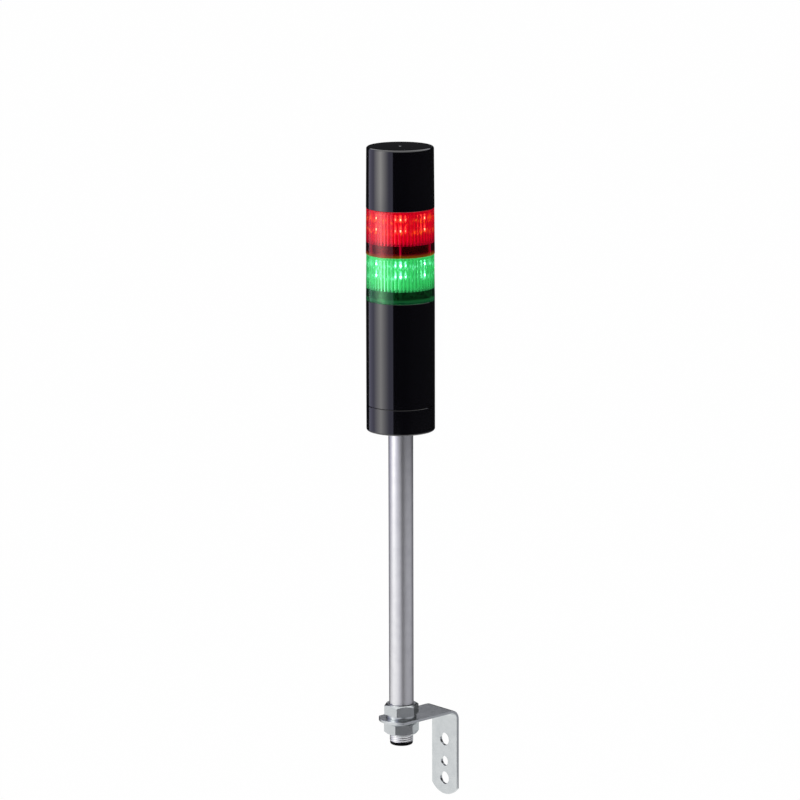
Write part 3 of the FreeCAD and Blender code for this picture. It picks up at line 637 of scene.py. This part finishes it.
def lathe(corners: Sequence[Sequence[float]], columns: int, steps: int = 5) -> Surface:
    """Body of revolution from profile corners, counter-clockwise with r to the right."""
    profile = rounded(corners, steps)
    return Surface.revolved(profile[:, :1], profile[:, 1:], circle(columns))


def span(node: str) -> tuple[float, float]:
    """Lowest and highest height of a CAD node in millimetres."""
    low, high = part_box(node)
    return low.z / MM, high.z / MM


def paint_nodes(finish: Finish, *nodes: str) -> None:
    """Gives CAD nodes a finish."""
    for node in nodes:
        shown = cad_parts[node]
        shown.data.materials.clear()
        shown.data.materials.append(finish.material())
        LOG.info("%s: CAD shape in %s", node, finish.name)


# Sub-assemblies


@dataclass
class Stand:
    """Bracket, nuts, washers, threaded pole and cable bush. Sizes are in millimetres and degrees."""

    bracket_weld: float = 1e-6
    bracket_edge: float = 0.3
    across_flats: float = 27.5
    chamfer_angle: float = 30.0
    chamfer_circle: float = 25.6
    upper_turn: float = 32.0
    lower_turn: float = 27.0
    nut_clearance: float = 0.05
    nut_edge: float = 0.18
    washer_bore: float = 10.78
    washer_edge: float = 0.35
    pole_radius: float = 11.0
    bore_radius: float = 9.0
    thread_radius: float = 10.4775
    thread_pitch: float = 1.814
    thread_depth: float = 0.3
    thread_steps: int = 12
    thread_fade: float = 1.5
    thread_gap: float = 0.05
    shoulder_height: float = 5.0
    shoulder_chamfer: float = 0.25
    middle_height: float = 190.0
    bush_radius: float = 10.2
    bush_spigot_radius: float = 8.95
    outlet_radius: float = 5.5
    bush_flange: float = 3.3
    bush_edge: float = 1.2
    outlet_edge: float = 0.6

    def build(self) -> None:
        """Builds every piece of the stand."""
        self.bracket()
        self.nut("upper_nut", self.upper_turn, True)
        self.nut("lower_nut", self.lower_turn, False)
        self.washer("upper_washer")
        self.washer("lower_washer")
        self.pole()
        self.bush()

    def bracket(self) -> None:
        """The CAD bracket, welded, its flat faces joined, and its edges rounded."""
        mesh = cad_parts["bracket"].data.copy()
        mesh.materials.clear()
        shape = bmesh.new()
        shape.from_mesh(mesh)
        bmesh.ops.remove_doubles(shape, verts=shape.verts, dist=self.bracket_weld)
        bmesh.ops.dissolve_limit(shape, angle_limit=math.radians(1.0), verts=shape.verts, edges=shape.edges)
        shape.to_mesh(mesh)
        shape.free()
        dress(mesh, "bent_bracket", ZINC, "stand", ["bracket"], sharp=40.0, bevel_mm=self.bracket_edge)

    def nut(self, node: str, turn: float, chamfer_up: bool) -> None:
        """Hexagon nut with its corners turned off at one end.

        The radius of a hexagon at an angle t from a face's middle is apothem / cos t. The chamfer drops
        from the end face by the radius beyond its circle times the slope. One face looks along the turn,
        in degrees.
        """
        low, high = span(node)
        columns = circle(144)
        sector = FULL_TURN / 6.0
        off = (columns + sector / 2.0) % sector - sector / 2.0
        flats = self.across_flats / 2.0 / np.cos(off)
        rim = self.chamfer_circle / 2.0
        drop = (flats - rim) * math.tan(math.radians(self.chamfer_angle))
        bore = self.thread_radius + self.nut_clearance
        if chamfer_up:
            radii = [bore, flats, flats, rim, bore]
            heights = [low, low, high - drop, high, high]
        else:
            radii = [bore, rim, flats, flats, bore]
            heights = [low, low, low + drop, high, high]
        nut = Surface.revolved(np.stack(np.broadcast_arrays(*radii)), np.stack(np.broadcast_arrays(*heights)),
                               columns + math.radians(turn))
        nut.piece("hex_" + node, ZINC, "stand", [node], sharp=24.0, bevel_mm=self.nut_edge)

    def washer(self, node: str) -> None:
        """Pressed washer with rounded edges."""
        low, high = span(node)
        left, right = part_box(node)
        radius = (right.x - left.x) / MM / 2.0
        lathe([(self.washer_bore, low), (radius, low, self.washer_edge), (radius, high, self.washer_edge),
               (self.washer_bore, high)], 128).piece("pressed_" + node, ZINC, "stand", [node])

    def pole(self) -> None:
        """Tube with a cut thread at both ends.

        On the threads the radius is the crest's less the depth times the square of half of 1 + cos of the
        phase. The phase goes round once in a pitch and once in a turn, so the groove climbs as a right
        hand screw.
        """
        low, high = span("pole")
        lower_shoulder = span("upper_nut")[1]
        upper_shoulder = span("bottom_cap")[0] + self.shoulder_height
        step = self.thread_pitch / self.thread_steps
        lower = np.arange(low, lower_shoulder - self.thread_gap, step)
        upper = np.append(np.arange(upper_shoulder + self.thread_gap, high, step), high)
        plain = np.array([lower_shoulder, lower_shoulder + self.shoulder_chamfer, self.middle_height,
                          upper_shoulder - self.shoulder_chamfer, upper_shoulder])
        heights = np.concatenate([lower, plain, upper])[:, None]
        threaded = (heights < lower_shoulder) | (heights > upper_shoulder)
        shoulder = np.isin(heights, (lower_shoulder, upper_shoulder))
        crest = np.where(threaded | shoulder, self.thread_radius, self.pole_radius)
        fade = np.clip(np.abs(heights - lower_shoulder) / self.thread_fade, 0.0, 1.0)
        fade *= np.clip(np.abs(heights - upper_shoulder) / self.thread_fade, 0.0, 1.0)
        turns = circle(96)
        phase = FULL_TURN * heights / self.thread_pitch - turns
        radii = crest - self.thread_depth * threaded * fade * (0.5 + 0.5 * np.cos(phase)) ** 2
        inner = np.full((2, turns.size), self.bore_radius)
        heights = np.concatenate([heights, [[high], [low]]])
        tube = Surface.revolved(np.concatenate([radii, inner]), heights, turns)
        tube.piece("threaded_pole", SATIN_ALUMINIUM, "stand", ["pole"], sharp=40.0)

    def bush(self) -> None:
        """Flanged bush with rounded lower edges."""
        low, high = span("pole_bush")
        flange = low + self.bush_flange
        lathe([(self.outlet_radius, low, self.outlet_edge), (self.bush_radius, low, self.bush_edge),
               (self.bush_radius, flange), (self.bush_spigot_radius, flange),
               (self.bush_spigot_radius, high), (self.outlet_radius, high)],
              96).piece("cable_bush", BLACK_SATIN, "stand", ["pole_bush"])


@dataclass
class Body:
    """Black body with its cap, circuit board and terminals."""

    def build(self) -> None:
        """Dresses every piece of the body."""
        paint_nodes(BLACK_GLOSS, "body_housing", "bottom_cap")
        paint_nodes(BLACK_MATT, "body_neck_plate", "pole_socket")
        paint_nodes(RUBBER, "cap_seal", "body_seal")
        paint_nodes(SCREW_STEEL, "cap_screws", "terminal_screws")
        paint_nodes(BRASS, "pole_locknut", "body_contact_rods", "body_contact_rings")
        paint_nodes(GREEN_BOARD, "control_board")
        paint_nodes(PACKAGE_BLACK, "board_components")
        paint_nodes(TERMINAL_GREEN, "terminal_block")


@dataclass
class LedModule:
    """One LED module: clear fluted lens, black base, LED column and coupling.

    Sizes are in millimetres and degrees. The drops are those of the rows below the lens's seat.
    """

    colour: LedColour
    tint: Colour
    # painted light: glow, foot_glow, the glint colour and the glow levels below paint the lens, column and
    # boards; glow and core also colour the LED dies
    glow: Colour
    core: Colour
    foot_glow: Colour
    painted_glint: Colour
    skirt_glow_level: float
    column_glow: float
    board_glow: float
    foot_radius: float = 30.3
    top_radius: float = 29.85
    inner_radius: float = 27.8
    foot_inner_radius: float = 26.7
    seat_radius: float = 28.0
    foot_height: float = 3.3
    band_height: float = 10.5
    band_step: float = 0.01
    seat_depth: float = 2.5
    flutes: int = 56
    flute_depth: float = 0.8
    flute_spans: int = 10
    edge: float = 0.3
    board_face: float = 19.0
    led_faces: int = 6
    led_turn: float = 18.0
    led_drops: tuple[float, float] = (8.0, 17.7)
    led_half: float = 1.6
    led_thickness: float = 1.0
    cup_radius: float = 1.58
    cup_height: float = 0.6
    cup_depth: float = 1.45
    window_radius: float = 1.48
    die_radius: float = 1.4
    die_height: float = 0.1
    lap: float = 0.05

    def named(self, kind: str) -> str:
        """Name of a piece, node or finish of this module."""
        return f"{self.colour.value}_{kind}"

    @property
    def rows(self) -> tuple[float, ...]:
        """Height of each row of LEDs in metres, as the finishes take it."""
        top = span(self.named("neck_plate"))[0] + self.seat_depth
        return tuple((top - drop) * MM for drop in self.led_drops)

    def build(self) -> None:
        """Builds the lens and dresses the pieces inside it."""
        self.lens()
        self.leds()
        # painted glow on the column and neck plate, painted halo and glow on the boards
        glow = LitPlastic(self.named("lit_plastic"), "white_plastic", (0.8, 0.8, 0.78, 1.0), self.glow,
                          self.column_glow)
        board = LitBoard(self.named("led_board"), "white_board", self.glow, self.board_glow, self.core,
                         self.board_face * MM, self.led_faces, self.led_turn, self.rows)
        for finish, *kinds in ((GREY_SATIN, "base"), (glow, "led_column", "neck_plate"),
                               (board, "led_boards"), (BRASS, "contact_rods", "contact_rings"),
                               (RUBBER, "seal")):
            paint_nodes(finish, *map(self.named, kinds))

    def leds(self) -> None:
        """Square packages with a cup round a glowing die, in two rows on the six boards."""
        face = self.board_face + self.led_thickness
        rim = face + self.cup_height
        bed = rim - self.cup_depth
        low = bed - self.die_height
        top = bed + self.die_height
        corner = self.led_half * math.sqrt(2.0)
        well = self.cup_radius - self.lap
        box = [(0.0, self.board_face), (corner, self.board_face), (corner, face), (well, face),
               (well, low), (0.0, low)]
        cup = [(0.0, low), (self.cup_radius, low), (self.cup_radius, rim), (self.window_radius, rim),
               (self.window_radius, bed), (0.0, bed)]
        die = [(0.0, low), (self.die_radius, low), (self.die_radius, top), (0.0, top)]
        packages: list[Surface] = []
        dies: list[Surface] = []
        for index in range(self.led_faces):
            angle = math.radians(self.led_turn + index * 360.0 / self.led_faces)
            for row in self.rows:
                packages.append(Surface.standing(box, circle(4) + math.pi / 4.0, angle, row / MM))
                packages.append(Surface.standing(cup, circle(24), angle, row / MM))
                dies.append(Surface.standing(die, circle(16), angle, row / MM))
        body = self.named("module")
        node = self.named("leds")
        glow = Emitter(self.named("led"), self.named("led"), self.glow, self.core)
        Surface.joined(packages).piece(self.named("led_packages"), PALE_GREY, body, [node])
        Surface.joined(dies).piece(self.named("led_dies"), glow, body, [node])

    def lens(self) -> None:
        """Clear moulding, smooth outside and fluted inside.

        Over the lit height the inner radius falls from the valley's by the flute's depth times
        1 - (2 u - 1) squared, where u runs from 0 to 1 across each flute.
        """
        low, high = span(self.named("lens"))
        foot = low + self.foot_height
        lit = low + self.band_height
        seat = high - self.seat_depth
        profile = rounded([(self.foot_inner_radius, low), (self.foot_radius, low, self.edge),
                           (self.top_radius, high, self.edge), (self.seat_radius, high),
                           (self.seat_radius, seat), (self.inner_radius, seat)])
        band = self.inner_radius + self.band_step
        tail = np.array([(self.inner_radius, lit), (band, lit), (band, foot), (self.foot_inner_radius, foot)])
        fluted = slice(len(profile) - 1, len(profile) + 1)
        profile = np.concatenate([profile, tail])
        columns = self.flutes * self.flute_spans
        share = (np.arange(columns) / self.flute_spans) % 1.0
        radii = np.repeat(profile[:, :1], columns, axis=1)
        radii[fluted] -= self.flute_depth * (1.0 - (2.0 * share - 1.0) ** 2)
        shell = Surface.revolved(radii, profile[:, 1:], circle(columns))
        # the lens's finish paints its glow, beams and glints
        finish = GlowPaintedClearMoulding(self.named("clear_plastic"), self.named("clear"), self.tint, self.glow,
                               self.foot_glow, self.painted_glint, self.skirt_glow_level, self.flutes, self.led_faces,
                               self.led_turn, self.rows, low * MM, lit * MM, high * MM)
        shell.piece(self.named("fluted_lens"), finish, self.named("module"), [self.named("lens")],
                    sharp=35.0)


@dataclass
class Sounder:
    """Glossy cover over the sounder's base, board and piezo. Sizes are in millimetres."""

    foot_radius: float = 30.0
    top_radius: float = 29.55
    foot_inner_radius: float = 26.7
    inner_radius: float = 27.8
    foot_height: float = 3.3
    wall: float = 2.2
    rim_radius: float = 1.8
    edge: float = 0.3
    dimple_radius: float = 1.6
    dimple_depth: float = 0.6
    dimple_edge: float = 0.12

    def build(self) -> None:
        """Builds the cover and dresses the pieces under it."""
        self.cover()
        paint_nodes(BLACK_MATT, "sounder_base", "resonator_ring")
        paint_nodes(BRASS, "sounder_contact_pins", "piezo_diaphragm")
        paint_nodes(GREEN_BOARD, "sounder_board")
        paint_nodes(PACKAGE_BLACK, "sounder_components", "tone_switch")
        paint_nodes(SCREW_STEEL, "sounder_screws")
        paint_nodes(TRIMMER_BLUE, "volume_trimmer")
        paint_nodes(WHITE, "volume_rotor", "tone_slider")
        paint_nodes(CERAMIC, "piezo_ceramic")

    def cover(self) -> None:
        """Tall cup with a rounded rim and a gate dimple in its top."""
        low, high = span("sounder_cover")
        ceiling = high - self.wall
        foot = low + self.foot_height
        floor = high - self.dimple_depth
        cup = lathe([
            (self.foot_inner_radius, low), (self.foot_radius, low, self.edge),
            (self.top_radius, high, self.rim_radius), (self.dimple_radius, high, self.dimple_edge),
            (0.0, floor), (0.0, ceiling),
            (self.inner_radius, ceiling, self.rim_radius / 2.0), (self.inner_radius, foot),
            (self.foot_inner_radius, foot)], 192, steps=8)
        centre = np.hypot(cup.points[:, 0], cup.points[:, 1] - POLE_Y) < WELD
        cup.quads = cup.quads[~centre[cup.quads].all(axis=1)]
        cup.piece("sounder_shell", BLACK_GLOSS, "sounder_unit", ["sounder_cover"])


# Studio


@dataclass
class Studio:
    """Pale floor, one broad softbox on the left, dark screens round the rest, and the camera.

    Lengths are in metres and angles in degrees. The angles of panels and lamp count to the right of the
    camera, seen from the pole.
    """

    azimuth: float = 47.9
    pitch: float = 11.8
    distance: float = 3.6
    aim_height: float = 0.33935
    aim_left: float = 0.0006
    lens: float = 183.8
    sensor: float = 36.0
    roll: float = 0.143
    clip_end: float = 100.0
    soft_level: float = 0.45
    floor_height: float = -0.45
    floor_radius: float = 16.0
    floor_white: float = 0.992
    softbox_angle: float = -77.5
    softbox_half: float = 53.0
    softbox_distance: float = 1.4
    softbox_low: float = -0.35
    softbox_high: float = 1.7
    core_angle: float = -69.5
    core_half: float = 32.0
    core_power: float = 1.15
    screen_distance: float = 0.9
    screen_height: float = 1.2
    overhead_height: float = 1.25
    overhead_radius: float = 0.88
    overhead_level: float = 1.2
    fill_angle: float = 40.0
    fill_distance: float = 2.4
    fill_height: float = 1.5
    fill_aim: float = 0.25
    fill_size: float = 1.6
    fill_energy: float = 22.0

    def build(self) -> None:
        """Makes the whole studio."""
        bpy.context.scene.view_settings.view_transform = "Standard"
        self.world()
        self.floor()
        self.softbox()
        self.screens()
        self.overhead()
        self.fill()
        self.camera()

    def direction(self, angle: float) -> np.ndarray:
        """Level direction at an angle to the right of the camera, seen from the pole."""
        turn = math.radians(self.azimuth + angle)
        return np.array([math.sin(turn), -math.cos(turn), 0.0])

    def world(self) -> None:
        """White to the eye, in gloss and through clear plastic, and a soft grey light elsewhere."""
        world = bpy.data.worlds.new("studio_world")
        bpy.context.scene.world = world
        graph = ShaderGraph(world)
        soft, white = (
            graph.node("ShaderNodeBackground", None, {"Color": PURE_WHITE, "Strength": strength})
            for strength in (self.soft_level, 1.0))
        graph.finish(graph.mixed(self.seen(graph), soft, white))

    @staticmethod
    def seen(graph: ShaderGraph) -> Term:
        """1 for camera, glossy and transmission rays, and 0 for the rest."""
        camera, glossy, through = (graph.node("ShaderNodeLightPath", output=f"Is {kind} Ray")
                                   for kind in ("Camera", "Glossy", "Transmission"))
        return camera.at_least(glossy).at_least(through)

    @staticmethod
    def staged(name: str, surface: Surface, material: bpy.types.Material) -> bpy.types.Object:
        """Makes a piece of the stage."""
        mesh = surface.mesh(name)
        mesh.materials.append(material)
        made = placed(name, mesh)
        return made

    @staticmethod
    def disc(radii: Sequence[float], height: float, columns: int) -> Surface:
        """Level disc about the pole axis, from the radii of its rings."""
        turns = circle(columns)
        rings = np.array(radii)[:, None]
        points = np.broadcast_arrays(rings * np.cos(turns), rings * np.sin(turns) + POLE_Y, height)
        return Surface.grid(np.stack(points, axis=-1), False, True)

    def arc(self, name: str, material: bpy.types.Material, middle: float, half: float, distance: float,
            low: float, high: float) -> bpy.types.Object:
        """Upright curved panel round the object, which the camera doesn't see.

        Its points lie at a distance from the pole, at equal steps of the angle, up to half a width on
        either side of the middle, and of the height from low to high.
        """
        angles = np.radians(self.azimuth + middle + np.linspace(-half, half, 65))
        turn, height = np.meshgrid(angles, np.linspace(low, high, 9), indexing="ij")
        points = np.stack([distance * np.sin(turn), -distance * np.cos(turn) + POLE_Y, height], axis=-1)
        made = self.staged(name, Surface.grid(points[::-1], False, False), material)
        made.visible_camera = False
        return made

    def softbox(self) -> None:
        """Broad panel of light: a warm core on a cool ground, and an even grey in its lower part."""
        graph = ShaderGraph(bpy.data.materials.new("softbox_light"))
        x, y, z = graph.axes()
        x, y = x / self.softbox_distance, y / self.softbox_distance
        aside = self.along(x, y, self.core_angle).arc_cosine()
        core = (1.0 - aside / math.radians(self.core_half)).at_least(0.0) ** self.core_power
        upper = z.ramp(-0.10, 0.0)
        broad = self.lobe(x, y, -52.0, 80.0)
        cool = graph.scaled((0.94, 0.93, 1.28), upper * 0.44)
        warm = graph.scaled((1.0, 0.985, 0.90), upper * core * z.ramp(0.12, 0.32).between(1.7, 2.4))
        plain = graph.scaled((0.98, 0.98, 1.0), (1.0 - upper) * broad.between(0.33, 0.95))
        graph.finish(graph.emission(graph.plus(graph.plus(cool, warm), plain)))
        self.arc("softbox", graph.owner, self.softbox_angle, self.softbox_half, self.softbox_distance,
                 self.softbox_low, self.softbox_high)

    def along(self, x: Term, y: Term, angle: float) -> Term:
        """Cosine of the angle between a direction and a place, with X and Y as shares of its distance."""
        middle = self.direction(angle)
        return x * float(middle[0]) + y * float(middle[1])

    def lobe(self, x: Term, y: Term, angle: float, half: float) -> Term:
        """1 in the direction of an angle, falling smoothly to 0 at half on either side of it."""
        return self.along(x, y, angle).ramp(math.cos(math.radians(half)), 1.0)

    def screens(self) -> None:
        """Screens that only gloss sees, round the sides that the softbox leaves free.

        They are dark at the height that the head mirrors. Below it they carry on the softbox's edge and
        a paler stretch on the right. Behind, the sounder's top and the bracket's arm mirror a band each,
        and the brim is pale.
        """
        graph = ShaderGraph(bpy.data.materials.new("screen_cloth"))
        x, y, z = graph.axes()
        x, y = x / self.screen_distance, y / self.screen_distance
        spill = self.lobe(x, y, -24.5, 34.0)
        right = self.lobe(x, y, 74.0, 62.0)
        behind = self.lobe(x, y, 180.0, 16.0)
        deep = z.ramp(-0.26, -0.06).between(0.55, 1.0)
        low = z.ramp(0.108, 0.092) * deep * (0.14 + 0.68 * spill + 0.37 * right)
        top = 0.008 * behind * z.ramp(0.55, 0.62) * z.ramp(0.86, 0.80)
        arm = 0.7 * behind * z.ramp(0.26, 0.29) * z.ramp(0.36, 0.33)
        brim = 0.9 * z.ramp(0.95, 1.05)
        level = 0.01 + 0.01 * right + low + top + arm + brim
        graph.finish(graph.emission(graph.scaled((0.98, 0.98, 1.06), level)))
        panel = self.arc("dark_screen", graph.owner, self.softbox_angle + 180.0, 180.0 - self.softbox_half,
                         self.screen_distance, self.floor_height + 0.01, self.screen_height)
        panel.visible_diffuse = False
        panel.visible_shadow = False

    def overhead(self) -> None:
        """Round panel of light above, for the rims, chamfers and other edges that face up."""
        graph = ShaderGraph(bpy.data.materials.new("overhead_light"))
        graph.finish(graph.emission(PURE_WHITE, self.overhead_level))
        disc = self.disc(np.linspace(0.0, self.overhead_radius, 5), self.overhead_height, 48)
        self.staged("overhead", disc, graph.owner).visible_camera = False

    def fill(self) -> None:
        """Weak broad lamp from the front right that gives shape without a reflection."""
        light = bpy.data.lights.new("fill", "AREA")
        light.shape = "DISK"
        light.size = self.fill_size
        light.energy = self.fill_energy
        lamp = placed("fill_lamp", light)
        level = self.direction(self.fill_angle) * self.fill_distance
        lamp.location = level + np.array([0.0, POLE_Y, self.fill_height])
        aim = Vector((0.0, POLE_Y, self.fill_aim)) - lamp.location
        lamp.rotation_euler = aim.to_track_quat("-Z", "Y").to_euler()
        lamp.visible_glossy = False
        lamp.visible_camera = False

    def floor(self) -> None:
        """Round pale floor, below the object, that keeps its shadow."""
        graph = ShaderGraph(bpy.data.materials.new("pale_floor"))
        cloth = graph.node("ShaderNodeBsdfDiffuse", None, {"Color": (0.86, 0.86, 0.86, 1.0)})
        share = self.floor_white * self.seen(graph)
        graph.finish(graph.mixed(share, cloth, graph.emission(PURE_WHITE)))
        disc = self.disc([0.0, 2.0, self.floor_radius], self.floor_height, 96)
        disc.quads = disc.quads[:, ::-1]
        self.staged("floor", disc, graph.owner)

    def camera(self) -> None:
        """Long lens at the photograph's angle, aimed at the pole axis."""
        data = bpy.data.cameras.new("camera")
        data.lens = self.lens
        data.sensor_width = self.sensor
        data.clip_end = self.clip_end
        made = placed("camera", data)
        pitch = math.radians(self.pitch)
        back = Vector(self.direction(0.0) * math.cos(pitch)) + Vector((0.0, 0.0, math.sin(pitch)))
        right = Vector((0.0, 0.0, 1.0)).cross(back).normalized()
        aim = Vector((0.0, POLE_Y, self.aim_height)) - right * self.aim_left
        made.location = aim + back * self.distance
        look = (-back).to_track_quat("-Z", "Y").to_matrix().to_4x4()
        spin = Matrix.Rotation(math.radians(-self.roll), 4, "Z")
        made.rotation_euler = (look @ spin).to_euler()
        bpy.context.scene.camera = made


def main() -> None:
    """Builds the light, then the studio."""
    logging.basicConfig(level=logging.INFO, format="%(name)s: %(message)s")
    # glow, foot_glow, the glint colour and the glow levels are painted light on the lens, column and boards
    red = LedModule(
        LedColour.RED, tint=(0.95, 0.05, 0.07, 1.0), glow=(1.0, 0.0, 0.09, 1.0), core=(1.0, 1.0, 0.4, 1.0),
        foot_glow=(0.42, 0.36, 0.0, 1.0), painted_glint=(3.5, 1.05, 0.05, 1.0), skirt_glow_level=2.2,
        column_glow=0.1, board_glow=0.09)
    green = LedModule(
        LedColour.GREEN, tint=(0.25, 0.95, 0.45, 1.0), glow=(0.12, 0.95, 0.32, 1.0),
        core=(0.75, 1.0, 0.95, 1.0), foot_glow=(0.0, 0.085, 0.036, 1.0), painted_glint=(1.4, 4.0, 3.0, 1.0),
        skirt_glow_level=0.1, column_glow=0.1, board_glow=0.06)
    for assembly in (Stand(), Body(), green, red, Sounder(), Studio()):
        assembly.build()
        LOG.info("%s is built", type(assembly).__name__)


if __name__ == "__main__":
    main()
